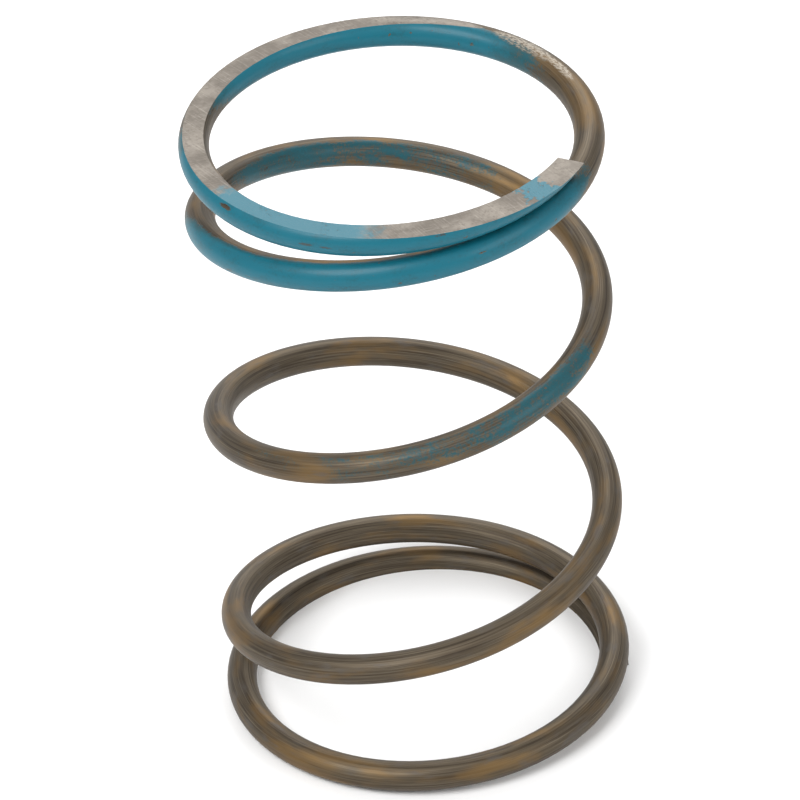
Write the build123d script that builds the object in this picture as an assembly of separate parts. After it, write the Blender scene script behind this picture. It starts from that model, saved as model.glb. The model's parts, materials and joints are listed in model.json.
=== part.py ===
from build123d import *
import math
import os

# Closed-and-ground compression coil spring of round oil-tempered wire, right-hand coiled.
# Origin: under mid-height of the coil axis, in the plane of the ground lower end. +Z is square to
# the two ground ends. The coil axis leans a little from square, as wound springs do.
# The lower wire tip starts on +X and the wire climbs counter-clockwise seen from above.
# Millimetres throughout. A "turn" is a fraction of a coil, counted along the wire from the lower tip.

# ---- driving dimensions -------------------------------------------------------------------
WIRE_DIAMETER = 4.5          # standard round spring wire size
MEAN_RADIUS = 28.6           # coil axis to wire centre-line
FREE_HEIGHT = 97.0           # ground face to ground face, unloaded
TOTAL_TURNS = 4.93           # tip to tip
TIP_THICKNESS = 1.3          # wire left at each tip after grinding
LEAN_X = -0.004              # sideways drift of the coil axis per unit of height
LEAN_Y = 0.043
LOWER_CLOSED_PITCH = 4.70    # rise per turn in the closed lower end coil
UPPER_CLOSED_PITCH = -1.45   # rise per turn in the closed upper end coil, which sags a little towards its front
LOWER_OPENING_STARTS = 0.895   # turn where the lower closed coil starts to open
LOWER_OPENING_ENDS = 1.65      # turn where the full active pitch is reached
UPPER_CLOSING_STARTS = 3.132   # turn where the active pitch starts to fall
UPPER_CLOSING_ENDS = 4.56      # turn where the upper end coil is fully closed
UPPER_TIP_RISES = 4.595        # turn where the upper tip starts to spring up over the coil below
UPPER_TIP_RISE = 3.20          # how far the upper tip had sprung up before grinding

# ---- division of the wire into rigid lengths ----------------------------------------------
JOINTS_PER_HALF_TURN = 4     # square cuts through the active wire, 45 degrees apart; every second one twists
JOINT_COUNT = 23
ACTIVE_STARTS = 1.0          # turn where the lower end coil stops being seated
JOINT_PITCH = 0.5 / JOINTS_PER_HALF_TURN
STATIONS = 8                 # steps that guide each swept length
END_COIL_LENGTHS = 9         # swept lengths that make up each end coil

WIRE_RADIUS = WIRE_DIAMETER / 2
TIP_CENTRE_HEIGHT = TIP_THICKNESS - WIRE_RADIUS


def eased_turns(turn, start, end):
    """Integral from the lower tip of a smooth step that rises from 0 at start to 1 at end."""
    length = end - start
    if turn <= start:
        return 0.0
    if turn >= end:
        return turn - (start + end) / 2
    part = (turn - start) / length
    return length * (part ** 3 - part ** 4 / 2)


def solve_active_pitch():
    """Active pitch that makes the ground spring exactly FREE_HEIGHT tall."""
    opened = eased_turns(TOTAL_TURNS, LOWER_OPENING_STARTS, LOWER_OPENING_ENDS)
    closed = eased_turns(TOTAL_TURNS, UPPER_CLOSING_STARTS, UPPER_CLOSING_ENDS)
    rise = FREE_HEIGHT - 2 * TIP_CENTRE_HEIGHT - UPPER_TIP_RISE
    rise -= LOWER_CLOSED_PITCH * (TOTAL_TURNS - opened)
    rise -= UPPER_CLOSED_PITCH * closed
    return rise / (opened - closed)


ACTIVE_PITCH = solve_active_pitch()


def smooth_step(turn, start, end):
    """Smooth step that rises from 0 at start to 1 at end."""
    part = min(max((turn - start) / (end - start), 0.0), 1.0)
    return part * part * (3 - 2 * part)


def square_height(turn):
    """Height of the wire centre-line above the lower ground face, before the coils lean."""
    opened = eased_turns(turn, LOWER_OPENING_STARTS, LOWER_OPENING_ENDS)
    closed = eased_turns(turn, UPPER_CLOSING_STARTS, UPPER_CLOSING_ENDS)
    height = TIP_CENTRE_HEIGHT + LOWER_CLOSED_PITCH * turn
    height += (ACTIVE_PITCH - LOWER_CLOSED_PITCH) * opened
    height += (UPPER_CLOSED_PITCH - ACTIVE_PITCH) * closed
    sprung = max(0.0, turn - UPPER_TIP_RISES) / (TOTAL_TURNS - UPPER_TIP_RISES)
    height += UPPER_TIP_RISE * sprung ** 2
    return height


def centre_point(turn):
    """Point on the wire centre-line. The open coils stay square to the leaning axis."""
    angle = 2 * math.pi * turn
    out_x = MEAN_RADIUS * math.cos(angle)
    out_y = MEAN_RADIUS * math.sin(angle)
    height = square_height(turn)
    from_middle = height - FREE_HEIGHT / 2
    is_open = smooth_step(turn, LOWER_OPENING_STARTS, LOWER_OPENING_ENDS)
    is_open *= 1 - smooth_step(turn, UPPER_CLOSING_STARTS, UPPER_CLOSING_ENDS)
    return Vector(
        out_x + LEAN_X * from_middle,
        out_y + LEAN_Y * from_middle,
        height - (LEAN_X * out_x + LEAN_Y * out_y) * is_open,
    )


def wire_direction(turn):
    """Unit vector along the wire, pointing up it."""
    step = 1e-4
    before = centre_point(turn - step)
    after = centre_point(turn + step)
    return Vector(after.X - before.X, after.Y - before.Y, after.Z - before.Z).normalized()


def wire_section(turn):
    """Round cross-section of the wire, with its seam turned outward."""
    angle = 2 * math.pi * turn
    outward = Vector(math.cos(angle), math.sin(angle), 0)
    plane = Plane(origin=centre_point(turn), x_dir=outward, z_dir=wire_direction(turn))
    return plane * Circle(WIRE_RADIUS)


def wire_length(start, end):
    """Round wire swept along the centre-line, with both ends cut square to the wire."""
    turns = [start + (end - start) * i / STATIONS for i in range(STATIONS + 1)]
    path = Spline(
        *[centre_point(turn) for turn in turns],
        tangents=[wire_direction(start), wire_direction(end)],
    )
    return sweep(wire_section(start), path=path)


def grinding_wheel_block(face_height, upward):
    """Block of material removed when an end is ground flat at face_height."""
    size = 3 * MEAN_RADIUS
    depth = 4 * WIRE_DIAMETER
    centre = face_height + (depth / 2 if upward else -depth / 2)
    return Pos(0, 0, centre) * Box(size, size, depth)


def end_coil(start, end, face_height, upward):
    """Closed end coil, ground flat wherever the wire reaches past face_height."""
    removed = grinding_wheel_block(face_height, upward)
    lengths = []
    for number in range(END_COIL_LENGTHS):
        first = start + (end - start) * number / END_COIL_LENGTHS
        last = start + (end - start) * (number + 1) / END_COIL_LENGTHS
        length = wire_length(first, last)
        extent = length.bounding_box()
        reaches = extent.max.Z > face_height if upward else extent.min.Z < face_height
        lengths.append(length - removed if reaches else length)
    return lengths[0].fuse(*lengths[1:])


def joint_turn(number):
    """Turn at which square cut `number` (from 1) sits. The even ones are twist joints."""
    return ACTIVE_STARTS + (number - 0.5) * JOINT_PITCH


def lower_end_coil():
    """Seated lower coil with its ground face, up to the first cut."""
    return end_coil(0.0, joint_turn(1), 0.0, upward=False)


def upper_end_coil():
    """Seated upper coil with its ground face, from the last cut to the upper tip."""
    return end_coil(joint_turn(JOINT_COUNT), TOTAL_TURNS, FREE_HEIGHT, upward=True)


def build_pieces():
    """All wire lengths by name, from the lower tip to the upper tip."""
    pieces = {"lower_end_coil": lower_end_coil()}
    for number in range(1, JOINT_COUNT):
        pieces[f"wire_span_{number:02d}"] = wire_length(joint_turn(number), joint_turn(number + 1))
    pieces["upper_end_coil"] = upper_end_coil()
    return pieces


os.makedirs("parts", exist_ok=True)
for name, solid in build_pieces().items():
    solid.label = name
    export_step(solid, f"parts/{name}.step")
    box = solid.bounding_box()
    print(name, f"volume {solid.volume:.1f} mm3, z {box.min.Z:.2f} to {box.max.Z:.2f}")
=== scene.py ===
"""Compression coil spring: every length of the wire is coiled from a straight bar, ground and dressed."""

import json
import logging
import math
from dataclasses import dataclass, field
from enum import Enum
from typing import Union

import bpy
import numpy as np
from mathutils import Matrix, Vector


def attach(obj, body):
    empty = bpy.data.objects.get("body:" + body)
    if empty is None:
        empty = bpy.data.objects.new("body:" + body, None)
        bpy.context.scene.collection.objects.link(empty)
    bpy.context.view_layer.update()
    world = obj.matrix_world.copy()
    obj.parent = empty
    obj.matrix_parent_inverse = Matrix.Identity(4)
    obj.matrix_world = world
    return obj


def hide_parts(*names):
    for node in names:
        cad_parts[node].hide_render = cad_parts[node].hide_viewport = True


logging.basicConfig(level=logging.INFO, format="%(levelname)s %(message)s")
LOG = logging.getLogger("coil_spring")

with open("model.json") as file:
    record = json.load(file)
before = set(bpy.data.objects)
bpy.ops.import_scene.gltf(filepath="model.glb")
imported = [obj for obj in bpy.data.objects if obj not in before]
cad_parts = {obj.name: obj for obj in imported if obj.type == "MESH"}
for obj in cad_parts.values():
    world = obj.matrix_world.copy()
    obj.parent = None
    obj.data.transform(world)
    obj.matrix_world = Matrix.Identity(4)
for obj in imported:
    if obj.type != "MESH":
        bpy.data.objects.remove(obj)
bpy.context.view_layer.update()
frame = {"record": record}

MM = 0.001
TURN = 2 * math.pi

Colour = tuple[float, float, float]


class Face(Enum):
    """Which side of the spring a ground face looks to."""

    NONE = 0
    LOWER = -1
    UPPER = 1


class Wear(Enum):
    """What made a mark on the wire."""

    CHIP = 0
    SCUFF = 1
    WHEEL = 2


class Facet(Enum):
    """Material slots of a wire length, in order."""

    SKIN = 0
    GROUND = 1
    SHEARED = 2


# ---- small shared helpers -----------------------------------------------------------------


def smooth_step(value: float, start: float, end: float) -> float:
    """Rise smoothly from 0 at start to 1 at end.

    Args:
        value: Where the step is read.
        start: Where it leaves 0.
        end: Where it reaches 1.

    Returns:
        The step's height, from 0 to 1.
    """
    part = min(max((value - start) / (end - start), 0.0), 1.0)
    return part * part * (3 - 2 * part)


def eased_turns(turn: float, start: float, end: float) -> float:
    """Integrate the smooth step over the turns from the lower tip.

    Args:
        turn: Upper limit of the integral, in turns.
        start: Where the step leaves 0.
        end: Where the step reaches 1.

    Returns:
        The integral, in turns.
    """
    if turn <= start:
        return 0.0
    if turn >= end:
        return turn - (start + end) / 2
    part = (turn - start) / (end - start)
    return (end - start) * (part**3 - part**4 / 2)


def only(obj: bpy.types.Object) -> None:
    """Select obj alone and make it active.

    Args:
        obj: The object that the next operators work on.
    """
    bpy.ops.object.select_all(action="DESELECT")
    obj.select_set(True)
    bpy.context.view_layer.objects.active = obj


# ---- the coil's own law -------------------------------------------------------------------


@dataclass(frozen=True)
class CoilLaw:
    """The wire's centre-line, in metres. A turn is counted along the wire from the lower tip."""

    wire_radius: float = 2.25 * MM
    mean_radius: float = 28.6 * MM
    free_height: float = 97.0 * MM
    total_turns: float = 4.93
    tip_thickness: float = 1.3 * MM
    lean: tuple[float, float] = (-0.004, 0.043)
    lower_pitch: float = 4.70 * MM
    upper_pitch: float = -1.45 * MM
    opening: tuple[float, float] = (0.895, 1.65)
    closing: tuple[float, float] = (3.132, 4.56)
    tip_rises: float = 4.595
    tip_rise: float = 3.20 * MM
    joint_count: int = 23
    joint_pitch: float = 0.125
    active_start: float = 1.0

    @property
    def active_pitch(self) -> float:
        """Rise per turn of the open coils, which makes the free height come out right."""
        opened = eased_turns(self.total_turns, *self.opening)
        closed = eased_turns(self.total_turns, *self.closing)
        rise = self.free_height - 2 * (self.tip_thickness - self.wire_radius) - self.tip_rise
        rise -= self.lower_pitch * (self.total_turns - opened)
        rise -= self.upper_pitch * closed
        return rise / (opened - closed)

    def square_height(self, turn: float) -> float:
        """Height of the centre-line before the coils lean.

        Args:
            turn: Place along the wire.

        Returns:
            Height above the lower ground face.
        """
        height = self.tip_thickness - self.wire_radius + self.lower_pitch * turn
        height += (self.active_pitch - self.lower_pitch) * eased_turns(turn, *self.opening)
        height += (self.upper_pitch - self.active_pitch) * eased_turns(turn, *self.closing)
        sprung = max(0.0, turn - self.tip_rises) / (self.total_turns - self.tip_rises)
        return height + self.tip_rise * sprung**2

    def point(self, turn: float) -> Vector:
        """Point of the centre-line.

        Args:
            turn: Place along the wire.

        Returns:
            The point in the row frame.
        """
        out = Vector((math.cos(TURN * turn), math.sin(TURN * turn), 0.0)) * self.mean_radius
        height = self.square_height(turn)
        from_middle = height - self.free_height / 2
        openness = smooth_step(turn, *self.opening) * (1 - smooth_step(turn, *self.closing))
        tilt = (self.lean[0] * out.x + self.lean[1] * out.y) * openness
        return Vector(
            (
                out.x + self.lean[0] * from_middle,
                out.y + self.lean[1] * from_middle,
                height - tilt,
            )
        )

    def joint_turn(self, number: int) -> float:
        """Place of a twist joint.

        Args:
            number: The joint, from 1.

        Returns:
            Its place, in turns.
        """
        return self.active_start + (number - 0.5) * self.joint_pitch


@dataclass
class CentreLine:
    """The coil law drawn as a fine polyline, with its length measured along the wire."""

    law: CoilLaw
    steps_per_turn: int = 720
    tangent_reach: float = 0.2 * MM
    turns: np.ndarray = field(init=False)
    points: np.ndarray = field(init=False)
    lengths: np.ndarray = field(init=False)

    def __post_init__(self) -> None:
        """Measure the line."""
        count = round(self.law.total_turns * self.steps_per_turn) + 1
        self.turns = np.linspace(0.0, self.law.total_turns, count)
        self.points = np.array([self.law.point(float(t)) for t in self.turns])
        steps = np.linalg.norm(np.diff(self.points, axis=0), axis=1)
        self.lengths = np.concatenate([[0.0], np.cumsum(steps)])

    def length_at(self, turn: float) -> float:
        """Length of wire from the lower tip to a place along it.

        Args:
            turn: The place, in turns.

        Returns:
            The length, in metres.
        """
        return float(np.interp(turn, self.turns, self.lengths))

    def at(self, along: np.ndarray) -> np.ndarray:
        """Find the points of the line at given lengths along the wire.

        Args:
            along: The lengths, in metres.

        Returns:
            One row of x, y and z for each length.
        """
        return np.stack([np.interp(along, self.lengths, self.points[:, i]) for i in range(3)], 1)

    def draw(self) -> bpy.types.Object:
        """Draw the line as a curve that bars are bent along.

        Returns:
            The curve object.
        """
        data = bpy.data.curves.new("coil_line", "CURVE")
        data.dimensions = "3D"
        data.twist_mode = "Z_UP"
        data.use_deform_bounds = False
        spline = data.splines.new("POLY")
        spline.points.add(len(self.points) - 1)
        flat = np.concatenate([self.points, np.ones((len(self.points), 1))], axis=1)
        spline.points.foreach_set("co", flat.ravel())
        line = bpy.data.objects.new("coil_line", data)
        bpy.context.scene.collection.objects.link(line)
        return line

    def unrolled(self, places: np.ndarray, along: np.ndarray) -> tuple[np.ndarray, np.ndarray]:
        """Give each surface point its place on the straight, unbent wire.

        Args:
            places: Surface points in the row frame.
            along: Each point's length along the wire.

        Returns:
            Rows of outward offset, upward offset and length, in millimetres, and the unit normals.
        """
        turn = np.interp(along, self.lengths, self.turns)
        tangent = self.at(along + self.tangent_reach) - self.at(along - self.tangent_reach)
        tangent /= np.linalg.norm(tangent, axis=1, keepdims=True)
        outward = np.stack([np.cos(TURN * turn), np.sin(TURN * turn), np.zeros_like(turn)], 1)
        outward -= tangent * (outward * tangent).sum(1, keepdims=True)
        outward /= np.linalg.norm(outward, axis=1, keepdims=True)
        upward = np.cross(outward, tangent)
        offset = places - self.at(along)
        rows = np.stack(
            [(offset * outward).sum(1) / MM, (offset * upward).sum(1) / MM, along / MM], 1
        )
        normal = offset - tangent * (offset * tangent).sum(1, keepdims=True)
        normal /= np.linalg.norm(normal, axis=1, keepdims=True) + 1e-12
        return rows, normal


# ---- shader sums --------------------------------------------------------------------------

Operand = Union["Value", float]


class Value:
    """A number socket that takes part in Python sums. Each operator adds one Math node."""

    def __init__(self, bench: "Bench", socket: bpy.types.NodeSocket) -> None:
        """Wrap a socket.

        Args:
            bench: The material being built.
            socket: An output socket.
        """
        self.bench = bench
        self.socket = socket

    def _sum(self, operation: str, first: Operand, second: Operand) -> "Value":
        """Add one Math node.

        Args:
            operation: The node's operation.
            first: Its first number.
            second: Its second number.

        Returns:
            The node's result.
        """
        made = self.bench.node("ShaderNodeMath", {"operation": operation}, {0: first, 1: second})
        return Value(self.bench, made.outputs[0])

    def __add__(self, other: Operand) -> "Value":
        """Add."""
        return self._sum("ADD", self, other)

    def __radd__(self, other: Operand) -> "Value":
        """Add."""
        return self._sum("ADD", other, self)

    def __sub__(self, other: Operand) -> "Value":
        """Subtract."""
        return self._sum("SUBTRACT", self, other)

    def __rsub__(self, other: Operand) -> "Value":
        """Subtract from."""
        return self._sum("SUBTRACT", other, self)

    def __mul__(self, other: Operand) -> "Value":
        """Multiply."""
        return self._sum("MULTIPLY", self, other)

    def __rmul__(self, other: Operand) -> "Value":
        """Multiply."""
        return self._sum("MULTIPLY", other, self)

    def __truediv__(self, other: Operand) -> "Value":
        """Divide."""
        return self._sum("DIVIDE", self, other)

    def most(self, other: Operand) -> "Value":
        """Return the larger of two."""
        return self._sum("MAXIMUM", self, other)

    def angle_from(self, other: Operand) -> "Value":
        """Return the angle whose sine part is self and cosine part is other, in radians."""
        return self._sum("ARCTAN2", self, other)

    def step(self, start: float, end: float) -> "Value":
        """Rise smoothly from 0 at start to 1 at end, or fall where end is the smaller.

        Args:
            start: Where the result is 0.
            end: Where the result is 1.

        Returns:
            The stepped value.
        """
        low, high = min(start, end), max(start, end)
        made = self.bench.node(
            "ShaderNodeMapRange",
            {"interpolation_type": "SMOOTHSTEP"},
            {"Value": self, "From Min": low, "From Max": high},
        )
        stepped = Value(self.bench, made.outputs["Result"])
        return stepped if end > start else 1 - stepped


class Bench:
    """One material's node tree while it is being built."""

    def __init__(self, name: str) -> None:
        """Start a material.

        Args:
            name: The material's name.
        """
        self.material = bpy.data.materials.new(name)
        self.material.use_nodes = True
        self.tree = self.material.node_tree
        self.tree.nodes.clear()

    def node(self, kind: str, settings: dict, values: dict) -> bpy.types.Node:
        """Add a node, set it up and feed its sockets.

        Args:
            kind: The node's type.
            settings: Properties that are set first.
            values: Socket name or number to a constant, a Value or a socket.

        Returns:
            The node.
        """
        made = self.tree.nodes.new(kind)
        for name, value in settings.items():
            setattr(made, name, value)
        for name, value in values.items():
            if isinstance(value, Value):
                value = value.socket
            if isinstance(value, bpy.types.NodeSocket):
                self.tree.links.new(value, made.inputs[name])
            else:
                made.inputs[name].default_value = value
        return made

    def attribute(self, name: str) -> bpy.types.Node:
        """Read a mesh attribute.

        Args:
            name: The attribute.

        Returns:
            The attribute node.
        """
        return self.node("ShaderNodeAttribute", {"attribute_name": name}, {})

    def split(self, vector: bpy.types.NodeSocket) -> tuple[Value, Value, Value]:
        """Take a vector apart.

        Args:
            vector: A vector socket.

        Returns:
            Its three numbers.
        """
        made = self.node("ShaderNodeSeparateXYZ", {}, {0: vector})
        return tuple(Value(self, made.outputs[i]) for i in range(3))

    def join(self, x: Operand, y: Operand, z: Operand) -> bpy.types.NodeSocket:
        """Put three numbers together.

        Args:
            x: First number.
            y: Second number.
            z: Third number.

        Returns:
            A vector socket.
        """
        return self.node("ShaderNodeCombineXYZ", {}, {0: x, 1: y, 2: z}).outputs[0]

    def vector_maths(self, operation: str, *values: object) -> bpy.types.Node:
        """Add one Vector Math node.

        Args:
            operation: The node's operation.
            *values: Its vectors, as sockets or constants.

        Returns:
            The node.
        """
        return self.node("ShaderNodeVectorMath", {"operation": operation}, dict(enumerate(values)))

    def noise(
        self, place: bpy.types.NodeSocket, scale: float, detail: float = 3.0, rough: float = 0.55
    ) -> Value:
        """Read soft noise.

        Args:
            place: Where it is read.
            scale: How many features there are per unit.
            detail: Octaves.
            rough: How strong the finer octaves are.

        Returns:
            Noise from about 0.2 to 0.8.
        """
        made = self.node(
            "ShaderNodeTexNoise",
            {"noise_dimensions": "3D"},
            {"Vector": place, "Scale": scale, "Detail": detail, "Roughness": rough},
        )
        return Value(self, made.outputs[0])

    def mixed(
        self,
        amount: Operand,
        first: Colour | bpy.types.NodeSocket,
        second: Colour | bpy.types.NodeSocket,
    ) -> bpy.types.NodeSocket:
        """Mix two colours.

        Args:
            amount: How much of the second, from 0 to 1.
            first: A colour or a colour socket.
            second: A colour or a colour socket.

        Returns:
            The mixed colour's socket.
        """
        first = (*first, 1.0) if isinstance(first, tuple) else first
        second = (*second, 1.0) if isinstance(second, tuple) else second
        made = self.node("ShaderNodeMix", {"data_type": "RGBA"}, {0: amount, 6: first, 7: second})
        return made.outputs[2]

    def finish(self, bump: list[tuple[Value, float]], **values: object) -> bpy.types.Material:
        """Close the tree with one principled shader.

        Args:
            bump: Heights and the depth in metres that each stands for.
            **values: Principled socket names, with _ for a space.

        Returns:
            The finished material.
        """
        normal = None
        for height, depth in bump:
            fed = {"Height": height, "Distance": depth, "Strength": 1.0}
            if normal is not None:
                fed["Normal"] = normal
            normal = self.node("ShaderNodeBump", {}, fed).outputs[0]
        sockets = {name.replace("_", " "): value for name, value in values.items()}
        if normal is not None:
            sockets["Normal"] = normal
        shader = self.node("ShaderNodeBsdfPrincipled", {}, sockets)
        out = self.node("ShaderNodeOutputMaterial", {}, {})
        self.tree.links.new(shader.outputs[0], out.inputs[0])
        return self.material


# ---- finishes -----------------------------------------------------------------------------


@dataclass(frozen=True)
class Mark:
    """One mark on the wire. Its angle runs from outward towards up, its half sizes are in millimetres."""

    turn: float
    angle: float
    length: float
    width: float
    wear: Wear


@dataclass(frozen=True)
class WireFinish:
    """Oil-tempered wire skin with the sprayed colour-code coat over its upper end."""

    dark: Colour = (0.050, 0.038, 0.027)
    middle: Colour = (0.115, 0.092, 0.064)
    light: Colour = (0.225, 0.190, 0.140)
    # bronze colour: partly the wire's own gold tint, partly a painted golden highlight
    bronze_tint_and_highlight: Colour = (0.190, 0.115, 0.044)
    scale: Colour = (0.085, 0.075, 0.066)
    wheeled: Colour = (0.340, 0.305, 0.255)
    coat: Colour = (0.001, 0.118, 0.168)
    coat_thin: Colour = (0.008, 0.068, 0.085)
    coat_deep: Colour = (0.002, 0.070, 0.115)
    marks: tuple[Mark, ...] = (
        Mark(4.612, 0.62, 1.1, 0.32, Wear.CHIP),
        Mark(4.688, 0.02, 1.0, 0.20, Wear.SCUFF),
        Mark(4.704, -0.04, 0.9, 0.16, Wear.SCUFF),
        Mark(4.790, 0.35, 0.9, 0.16, Wear.SCUFF),
        Mark(3.610, -0.35, 0.7, 0.18, Wear.SCUFF),
        Mark(3.820, 0.40, 0.6, 0.14, Wear.CHIP),
        Mark(4.128, 1.62, 6.0, 1.25, Wear.WHEEL),
        Mark(4.085, 1.60, 4.0, 0.70, Wear.WHEEL),
    )
    mark_edge: tuple[float, float] = (1.15, 0.75)
    scaled_where: tuple[float, float] = (0.54, 0.72)
    coated_where: tuple[float, float] = (0.36, 0.66)
    peppered_where: tuple[float, float] = (0.745, 0.77)
    skin_depth: float = 0.020 * MM
    coat_depth: float = 0.035 * MM

    def mark_mask(
        self, bench: Bench, place: bpy.types.NodeSocket, line: CentreLine, wear: Wear
    ) -> Value:
        """Build the mask of all marks of one kind.

        Args:
            bench: The material being built.
            place: The unbent-wire place, roughened a little.
            line: The centre-line, which gives each mark's length along the wire.
            wear: The kind of mark that is wanted.

        Returns:
            The mask.
        """
        mask = None
        radius = line.law.wire_radius / MM
        for mark in self.marks:
            if mark.wear is not wear:
                continue
            centre = (
                radius * math.cos(mark.angle),
                radius * math.sin(mark.angle),
                line.length_at(mark.turn) / MM,
            )
            away = bench.vector_maths("SUBTRACT", place, centre)
            scaled = bench.vector_maths("DIVIDE", away.outputs[0], (mark.width, mark.width, mark.length))
            length = bench.vector_maths("LENGTH", scaled.outputs[0])
            one = Value(bench, length.outputs["Value"]).step(*self.mark_edge)
            mask = one if mask is None else mask.most(one)
        return mask

    def build(self, line: CentreLine) -> bpy.types.Material:
        """Make the material.

        Args:
            line: The centre-line.

        Returns:
            The wire skin material.
        """
        bench = Bench("wire_skin")
        place = bench.attribute("unrolled").outputs["Vector"]
        out, up, along = bench.split(place)
        coverage = Value(bench, bench.attribute("spray").outputs["Fac"])
        # long draw lines, soft bronze patches that are partly the wire's gold tempering tint and partly a
        # painted golden highlight, and fine grain
        lines = bench.noise(bench.join(out * 3.2, up * 3.2, along * 0.045), 1.0, 4.0, 0.6)
        fine_lines = bench.noise(bench.join(out * 9.0, up * 9.0, along * 0.10), 1.0, 2.0)
        tint_and_highlight_patches = bench.noise(bench.join(out * 0.28, up * 0.28, along * 0.075), 1.0, 3.0)
        blotches = bench.noise(bench.join(out * 0.7, up * 0.7, along * 0.22 + 40.0), 1.0, 4.0)
        grain = bench.noise(place, 7.0, 2.0)
        colour = bench.mixed(lines.step(0.30, 0.66), self.dark, self.middle)
        colour = bench.mixed(fine_lines.step(0.50, 0.78) * 0.55, colour, self.light)
        # painted golden highlight mixed with the real gold tint, laid in random patches along the wire
        colour = bench.mixed(tint_and_highlight_patches.step(0.46, 0.70) * 0.70, colour, self.bronze_tint_and_highlight)
        scaled = blotches.step(*self.scaled_where)
        colour = bench.mixed(scaled * 0.60, colour, self.scale)
        # sprayed coat: full where the wire faced the gun, speckled where it only caught the mist
        speckle = bench.noise(place, 2.6, 4.0, 0.65)
        cloud = bench.noise(bench.join(out, up, along * 0.45), 0.55, 3.0)
        ragged = coverage + (speckle - 0.5) * 0.70 + (cloud - 0.5) * 0.75
        coated = ragged.step(*self.coated_where)
        # marks, with ragged edges
        stray = bench.join((speckle - 0.5) * 0.9, (grain - 0.5) * 0.5, (cloud - 0.5) * 1.6)
        rough_place = bench.vector_maths("ADD", place, stray).outputs[0]
        chips = self.mark_mask(bench, rough_place, line, Wear.CHIP)
        scuffs = self.mark_mask(bench, rough_place, line, Wear.SCUFF)
        hatch = bench.noise(bench.join(out * 5.0, up * 0.5, along * 1.6 + out * 2.0), 1.0, 2.0)
        wheel = self.mark_mask(bench, rough_place, line, Wear.WHEEL) * hatch.step(0.36, 0.60)
        colour = bench.mixed(wheel * 0.85, colour, self.wheeled)
        peppered = bench.noise(place, 1.15, 2.0, 0.4).step(*self.peppered_where)
        coated = coated * (1 - chips) * (1 - peppered * 0.85) * (1 - wheel)
        thickness = ragged.step(0.62, 1.15)
        paint = bench.mixed(thickness, self.coat_thin, self.coat)
        paint = bench.mixed(lines.step(0.40, 0.20) * 0.35, paint, self.coat_deep)
        paint = bench.mixed(scuffs * 0.75, paint, self.dark)
        final = bench.mixed(coated, colour, paint)
        bare_rough = 0.34 + lines * 0.22 + blotches * 0.10
        rough = bare_rough * (1 - coated) + (0.38 + cloud * 0.14) * coated
        metal = (0.78 - scaled * 0.35) * (1 - coated)
        skin_relief = (lines + fine_lines * 0.6 + grain * 0.25) * (1 - coated * 0.65)
        return bench.finish(
            [(skin_relief, self.skin_depth), (coated, self.coat_depth)],
            Base_Color=final,
            Roughness=rough,
            Metallic=metal,
            Coat_Weight=coated * 0.10,
            Coat_Roughness=0.16,
            Specular_IOR_Level=0.28,
        )


@dataclass(frozen=True)
class GroundFinish:
    """Steel ground flat across the wire, with stray coat on part of the upper end."""

    steel: Colour = (0.205, 0.182, 0.155)
    bright: Colour = (0.340, 0.310, 0.270)
    dull: Colour = (0.125, 0.108, 0.090)
    coat: Colour = (0.001, 0.125, 0.175)
    coated_arc: tuple[float, float] = (3.70, 4.62)
    tip_patch_arc: tuple[float, float] = (5.46, 5.60)
    arc_fade: float = 0.10
    coated_above: tuple[float, float] = (40.0, 50.0)
    line_depth: float = 0.016 * MM
    coat_depth: float = 0.03 * MM

    def build(self, law: CoilLaw) -> bpy.types.Material:
        """Make the material.

        Args:
            law: The coil's dimensions.

        Returns:
            The ground face material.
        """
        bench = Bench("ground_face")
        place = bench.node("ShaderNodeTexCoord", {}, {}).outputs["Object"]
        x, y, z = bench.split(place)
        x, y, z = x / MM, y / MM, z / MM
        lean_y = law.lean[1] * law.free_height / 2 / MM
        azimuth = (0 - (y - lean_y)).angle_from(0 - x) + math.pi
        spot = bench.join(x, y, z)
        grain = bench.noise(spot, 2.2, 4.0, 0.65)
        cloud = bench.noise(spot, 0.22, 3.0)
        # two crossing sets of grinding lines, each slightly curved by the wheel
        bow = (x * x + y * y) * 0.0012
        across, lengthwise = x * 0.80 + y * 0.60 + bow, y * 0.80 - x * 0.60
        first = bench.noise(bench.join(across * 4.5, lengthwise * 0.16, z), 1.0, 3.0)
        across, lengthwise = x * 0.34 - y * 0.94 + bow, y * 0.34 + x * 0.94
        second = bench.noise(bench.join(across * 6.0, lengthwise * 0.20, z), 1.0, 2.0)
        colour = bench.mixed(cloud.step(0.35, 0.65), self.dull, self.steel)
        colour = bench.mixed(first.step(0.52, 0.74) * 0.42, colour, self.bright)
        colour = bench.mixed(second.step(0.56, 0.76) * 0.36, colour, self.bright)
        colour = bench.mixed(grain.step(0.50, 0.68) * 0.60, colour, self.dull)
        # stray coat: a worn arc along the front and a small patch near the tip, on the upper end only
        wander = (bench.noise(spot, 0.9, 3.0) - 0.5) * 0.22
        place_round = azimuth + wander
        start, end = self.coated_arc
        arc = place_round.step(start, start + self.arc_fade)
        arc = arc * place_round.step(end + self.arc_fade, end - self.arc_fade)
        arc = arc * (grain * 1.5 + cloud).step(0.78, 1.02)
        low, high = self.tip_patch_arc
        patch = place_round.step(low - 0.02, low + 0.01) * place_round.step(high + 0.02, high - 0.01)
        patch = patch * grain.step(0.30, 0.44)
        coated = arc.most(patch) * z.step(*self.coated_above)
        final = bench.mixed(coated, colour, self.coat)
        relief = first + second * 0.8 + grain * 0.3
        return bench.finish(
            [(relief, self.line_depth), (coated, self.coat_depth)],
            Base_Color=final,
            Roughness=(0.40 + grain * 0.20) * (1 - coated) + 0.36 * coated,
            Metallic=0.70 - coated * 0.70,
            Specular_IOR_Level=0.30,
        )


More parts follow.
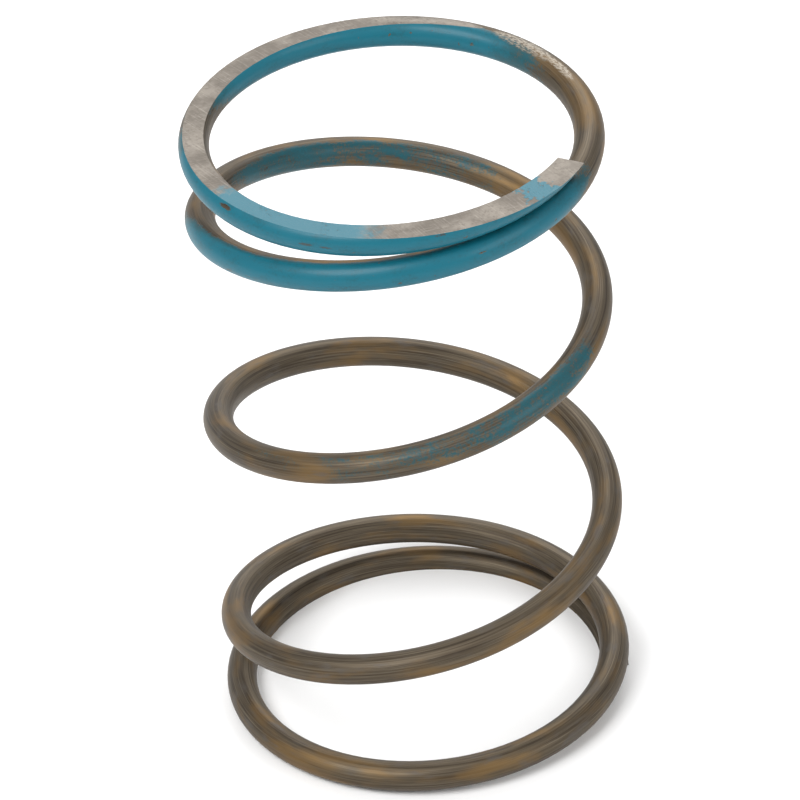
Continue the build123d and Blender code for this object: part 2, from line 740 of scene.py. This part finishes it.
@dataclass(frozen=True)
class ShearedFinish:
    """Wire end cut off square, torn dull over its lower half."""

    cut: Colour = (0.250, 0.225, 0.200)
    torn: Colour = (0.110, 0.098, 0.085)
    drag_depth: float = 0.05 * MM

    def build(self) -> bpy.types.Material:
        """Make the material.

        Returns:
            The sheared end material.
        """
        bench = Bench("sheared_end")
        place = bench.node("ShaderNodeTexCoord", {}, {}).outputs["Object"]
        x, y, z = bench.split(place)
        drag = bench.noise(bench.join(x / MM * 1.5, y / MM * 1.5, z / MM * 0.4), 2.0, 4.0)
        return bench.finish(
            [(drag, self.drag_depth)],
            Base_Color=bench.mixed(drag.step(0.38, 0.62), self.torn, self.cut),
            Roughness=0.48 + drag * 0.2,
            Metallic=0.70,
        )


# ---- the wire lengths ---------------------------------------------------------------------


@dataclass(frozen=True)
class SprayGun:
    """Where the colour-code coat came from and how far down the spring it reached."""

    towards: tuple[float, float, float] = (-0.15, -0.96, 0.18)
    facing_from: float = 0.02
    facing_full: float = 0.42
    front_reach: tuple[float, float] = (45 * MM, 79 * MM)
    back_reach: tuple[float, float] = (60 * MM, 90 * MM)
    front_to_back: tuple[float, float] = (-6 * MM, 10 * MM)
    shaded_across: tuple[float, float] = (13 * MM, 24 * MM)
    shaded_behind: tuple[float, float] = (-14 * MM, -2 * MM)
    shade_taken: float = 0.85

    def coverage(self, places: np.ndarray, normals: np.ndarray) -> np.ndarray:
        """Work out how much coat each surface point took.

        Args:
            places: Surface points in the row frame.
            normals: Outward unit normals of the wire.

        Returns:
            Coverage, below 0 where bare and 1 where full.
        """
        source = np.array(self.towards)
        facing = normals @ (source / np.linalg.norm(source))
        turned = np.clip((facing - self.facing_from) / (self.facing_full - self.facing_from), -0.5, 1.0)
        height = places[:, 2]
        front = np.clip(np.interp(height, self.front_reach, (0.0, 1.0)), 0.0, 1.0)
        back = np.clip(np.interp(height, self.back_reach, (0.0, 1.0)), 0.0, 1.0)
        depth = np.interp(places[:, 1], self.front_to_back, (0.0, 1.0))
        density = front * (1 - depth) + back * depth
        # the strand that carries the upper tip stood between the gun and the wire behind it
        shade = np.interp(places[:, 0], self.shaded_across, (0.0, 1.0))
        shade = shade * np.interp(places[:, 1], self.shaded_behind, (0.0, 1.0))
        return density * (1.02 * turned + 0.10) - 0.04 - self.shade_taken * shade


@dataclass
class WireLength:
    """One rigid length of the coiled wire: a straight bar bent round the centre-line."""

    node: str
    body: str
    slot: str
    start: float
    end: float
    line: CentreLine
    gun: SprayGun
    face: Face = Face.NONE
    sides: int = 64
    rings_per_turn: int = 360
    smooth_angle: float = math.radians(32)
    flat_within: float = 0.02 * MM

    def build(self, skins: dict[Facet, bpy.types.Material], guide: bpy.types.Object) -> bpy.types.Object:
        """Make, bend, grind and dress the length.

        Args:
            skins: The material of each facet.
            guide: The curve that the bar is bent along.

        Returns:
            The finished piece.
        """
        bar = self._straight_bar()
        self._bend(bar, guide)
        if self.face is not Face.NONE:
            self._grind(bar)
        self._mark_places(bar)
        self._dress(bar, skins)
        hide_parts(self.node)
        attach(bar, self.body)
        LOG.info("%s: %d faces on %s", bar.name, len(bar.data.polygons), self.body)
        return bar

    def _straight_bar(self) -> bpy.types.Object:
        """Make the bar along X, from its start to its end length.

        Returns:
            The bar, ringed finely enough to bend.
        """
        law = self.line.law
        first, last = self.line.length_at(self.start), self.line.length_at(self.end)
        bpy.ops.object.select_all(action="DESELECT")
        bpy.ops.mesh.primitive_cylinder_add(
            vertices=self.sides, radius=law.wire_radius, depth=last - first, end_fill_type="NGON"
        )
        bar = bpy.context.active_object
        bar.name = f"{self.node}_wire"
        bar.rotation_euler = (0.0, math.pi / 2, 0.0)
        bar.location = ((first + last) / 2, 0.0, 0.0)
        only(bar)
        bpy.ops.object.transform_apply(location=True, rotation=True, scale=True)
        mesh = bar.data
        rings = max(8, round((self.end - self.start) * self.rings_per_turn))
        places = [vertex.co.x for vertex in mesh.vertices]
        spans = [abs(places[edge.vertices[0]] - places[edge.vertices[1]]) for edge in mesh.edges]
        lengthwise = [edge for edge, span in enumerate(spans) if span > 0.5 * (last - first)]
        bpy.ops.object.mode_set(mode="EDIT")
        bpy.ops.mesh.select_mode(type="EDGE")
        bpy.ops.mesh.select_all(action="DESELECT")
        bpy.ops.object.mode_set(mode="OBJECT")
        for index in lengthwise:
            mesh.edges[index].select = True
        bpy.ops.object.mode_set(mode="EDIT")
        bpy.ops.mesh.subdivide(number_cuts=rings - 1)
        bpy.ops.object.mode_set(mode="OBJECT")
        return bar

    def _bend(self, bar: bpy.types.Object, guide: bpy.types.Object) -> None:
        """Bend the bar along the guide and keep each point's length along it.

        Args:
            bar: The straight bar.
            guide: The centre-line curve.
        """
        mesh = bar.data
        count = len(mesh.vertices)
        places = np.empty(count * 3)
        mesh.vertices.foreach_get("co", places)
        along = mesh.attributes.new("along", "FLOAT", "POINT")
        along.data.foreach_set("value", places.reshape(-1, 3)[:, 0].astype(np.float32))
        bend = bar.modifiers.new("bend", "CURVE")
        bend.object = guide
        bend.deform_axis = "POS_X"
        only(bar)
        bpy.ops.object.modifier_apply(modifier="bend")

    def _grind(self, bar: bpy.types.Object) -> None:
        """Cut the ground face square to the axis.

        Args:
            bar: The bent bar.
        """
        upper = self.face is Face.UPPER
        height = self.line.law.free_height if upper else 0.0
        only(bar)
        bpy.ops.object.mode_set(mode="EDIT")
        bpy.ops.mesh.select_mode(type="FACE")
        bpy.ops.mesh.select_all(action="SELECT")
        bpy.ops.mesh.bisect(
            plane_co=(0.0, 0.0, height),
            plane_no=(0.0, 0.0, 1.0 if upper else -1.0),
            use_fill=True,
            clear_outer=True,
            threshold=1e-7,
        )
        bpy.ops.object.mode_set(mode="OBJECT")

    def _mark_places(self, bar: bpy.types.Object) -> None:
        """Store the unbent place and the coat coverage of each point.

        Args:
            bar: The bent bar.
        """
        mesh = bar.data
        count = len(mesh.vertices)
        places = np.empty(count * 3)
        mesh.vertices.foreach_get("co", places)
        places = places.reshape(-1, 3)
        along = np.empty(count)
        mesh.attributes["along"].data.foreach_get("value", along)
        rows, normals = self.line.unrolled(places, along)
        unrolled = mesh.attributes.new("unrolled", "FLOAT_VECTOR", "POINT")
        unrolled.data.foreach_set("vector", rows.astype(np.float32).ravel())
        spray = mesh.attributes.new("spray", "FLOAT", "POINT")
        spray.data.foreach_set("value", self.gun.coverage(places, normals).astype(np.float32))

    def _dress(self, bar: bpy.types.Object, skins: dict[Facet, bpy.types.Material]) -> None:
        """Give each face its material and shade the wire smooth.

        Args:
            bar: The finished shape.
            skins: The material of each facet.
        """
        mesh = bar.data
        for facet in Facet:
            mesh.materials.append(skins[facet])
        height = self.line.law.free_height if self.face is Face.UPPER else 0.0
        for polygon in mesh.polygons:
            flat = abs(polygon.normal.z) > 0.999 and abs(polygon.center.z - height) < self.flat_within
            many_sided = len(polygon.vertices) > 8
            if self.face is not Face.NONE and flat:
                polygon.material_index = Facet.GROUND.value
            elif many_sided:
                polygon.material_index = Facet.SHEARED.value
        only(bar)
        bpy.ops.object.shade_smooth_by_angle(angle=self.smooth_angle)


# ---- studio -------------------------------------------------------------------------------


@dataclass(frozen=True)
class Lamp:
    """One round soft light that looks at the middle of the spring. Power is in watts."""

    name: str
    place: tuple[float, float, float]
    size: float
    power: float


@dataclass
class Studio:
    """Pale seamless floor, wide soft lights and the camera."""

    law: CoilLaw
    lamps: tuple[Lamp, ...] = (
        Lamp("key", (-0.55, -0.55, 1.05), 0.80, 12.0),
        Lamp("fill", (0.80, -0.60, 0.60), 0.70, 3.5),
        Lamp("back", (0.10, 0.90, 0.80), 0.90, 7.0),
    )
    room_light: float = 0.62
    floor_size: float = 12.0
    floor_height: float = -0.01 * MM
    floor_white: Colour = (0.92, 0.92, 0.92)
    distance: float = 846.70 * MM
    elevation: float = math.radians(34.8646)
    roll: float = -0.0688662
    turned: float = -0.0509239
    target: tuple[float, float, float] = (-1.4563 * MM, 0.0, 49.681 * MM)
    lens: float = 256.216

    def build(self) -> None:
        """Set the stage."""
        self._floor()
        self._world()
        for lamp in self.lamps:
            self._hang(lamp)
        self._camera()
        bpy.context.scene.view_settings.view_transform = "Standard"
        LOG.info("studio set")

    def _floor(self) -> None:
        """Lay the floor."""
        bpy.ops.object.select_all(action="DESELECT")
        bpy.ops.mesh.primitive_plane_add(size=self.floor_size, location=(0.0, 0.0, self.floor_height))
        floor = bpy.context.active_object
        floor.name = "studio_floor"
        bench = Bench("studio_white")
        white = bench.finish([], Base_Color=(*self.floor_white, 1.0), Roughness=0.9, Metallic=0.0)
        floor.data.materials.append(white)

    def _world(self) -> None:
        """Light the room evenly."""
        world = bpy.data.worlds.new("studio_world")
        world.use_nodes = True
        back = world.node_tree.nodes["Background"]
        back.inputs["Color"].default_value = (1.0, 1.0, 1.0, 1.0)
        back.inputs["Strength"].default_value = self.room_light
        bpy.context.scene.world = world

    def _hang(self, lamp: Lamp) -> None:
        """Hang one light and aim it.

        Args:
            lamp: The light.
        """
        data = bpy.data.lights.new(lamp.name, "AREA")
        data.shape = "DISK"
        data.size = lamp.size
        data.energy = lamp.power
        hung = bpy.data.objects.new(lamp.name, data)
        bpy.context.scene.collection.objects.link(hung)
        hung.location = lamp.place
        aim = Vector((0.0, 0.0, self.law.free_height / 2)) - Vector(lamp.place)
        hung.rotation_euler = aim.to_track_quat("-Z", "Y").to_euler()

    def _camera(self) -> None:
        """Place the camera by its distance, height, roll and turn about the spring."""
        sin_e, cos_e = math.sin(self.elevation), math.cos(self.elevation)
        forward = Vector((0.0, cos_e, -sin_e))
        right = Vector((1.0, 0.0, 0.0))
        up = Vector((0.0, sin_e, cos_e))
        cos_r, sin_r = math.cos(self.roll), math.sin(self.roll)
        across = right * cos_r + up * sin_r
        upright = up * cos_r - right * sin_r
        place = Vector(self.target) - forward * self.distance
        matrix = Matrix.Identity(4)
        for row in range(3):
            matrix[row][0] = across[row]
            matrix[row][1] = upright[row]
            matrix[row][2] = -forward[row]
            matrix[row][3] = place[row]
        data = bpy.data.cameras.new("camera")
        data.sensor_width = 36.0
        data.lens = self.lens
        data.clip_end = 50.0
        camera = bpy.data.objects.new("camera", data)
        bpy.context.scene.collection.objects.link(camera)
        camera.matrix_world = Matrix.Rotation(-self.turned, 4, "Z") @ matrix
        bpy.context.scene.camera = camera


# ---- the spring ---------------------------------------------------------------------------


@dataclass
class CoilSpring:
    """The whole spring: a lower end coil, the wire spans between the cuts and an upper end coil."""

    law: CoilLaw = field(default_factory=CoilLaw)
    gun: SprayGun = field(default_factory=SprayGun)
    wire: WireFinish = field(default_factory=WireFinish)
    ground: GroundFinish = field(default_factory=GroundFinish)
    sheared: ShearedFinish = field(default_factory=ShearedFinish)

    def build(self) -> list[bpy.types.Object]:
        """Build every length of wire.

        Returns:
            The finished pieces.
        """
        line = CentreLine(self.law)
        guide = line.draw()
        skins = {
            Facet.SKIN: self.wire.build(line),
            Facet.GROUND: self.ground.build(self.law),
            Facet.SHEARED: self.sheared.build(),
        }
        pieces = [length.build(skins, guide) for length in self._lengths(line)]
        bpy.data.objects.remove(guide, do_unlink=True)
        return pieces

    def _lengths(self, line: CentreLine) -> list[WireLength]:
        """List the lengths of wire between the cuts.

        Args:
            line: The centre-line.

        Returns:
            The lengths, from the lower tip to the upper tip.
        """
        record = frame["record"]
        body_of = {node: body for body, nodes in record["behaviour"]["bodies"].items() for node in nodes}
        slot_of = {part["node"]: part["material_slot"] for part in record["subparts"]}
        cuts = [0.0] + [self.law.joint_turn(n) for n in range(1, self.law.joint_count + 1)]
        cuts.append(self.law.total_turns)
        nodes = ["lower_end_coil"]
        nodes += [f"wire_span_{n:02d}" for n in range(1, self.law.joint_count)]
        nodes.append("upper_end_coil")
        faces = {"lower_end_coil": Face.LOWER, "upper_end_coil": Face.UPPER}
        return [
            WireLength(
                node=node,
                body=body_of[node],
                slot=slot_of[node],
                start=cuts[i],
                end=cuts[i + 1],
                line=line,
                gun=self.gun,
                face=faces.get(node, Face.NONE),
            )
            for i, node in enumerate(nodes)
        ]


def main() -> None:
    """Build the spring and its studio."""
    pieces = CoilSpring().build()
    Studio(CoilLaw()).build()
    LOG.info("%d pieces, %d faces", len(pieces), sum(len(p.data.polygons) for p in pieces))


if __name__ == "__main__":
    main()
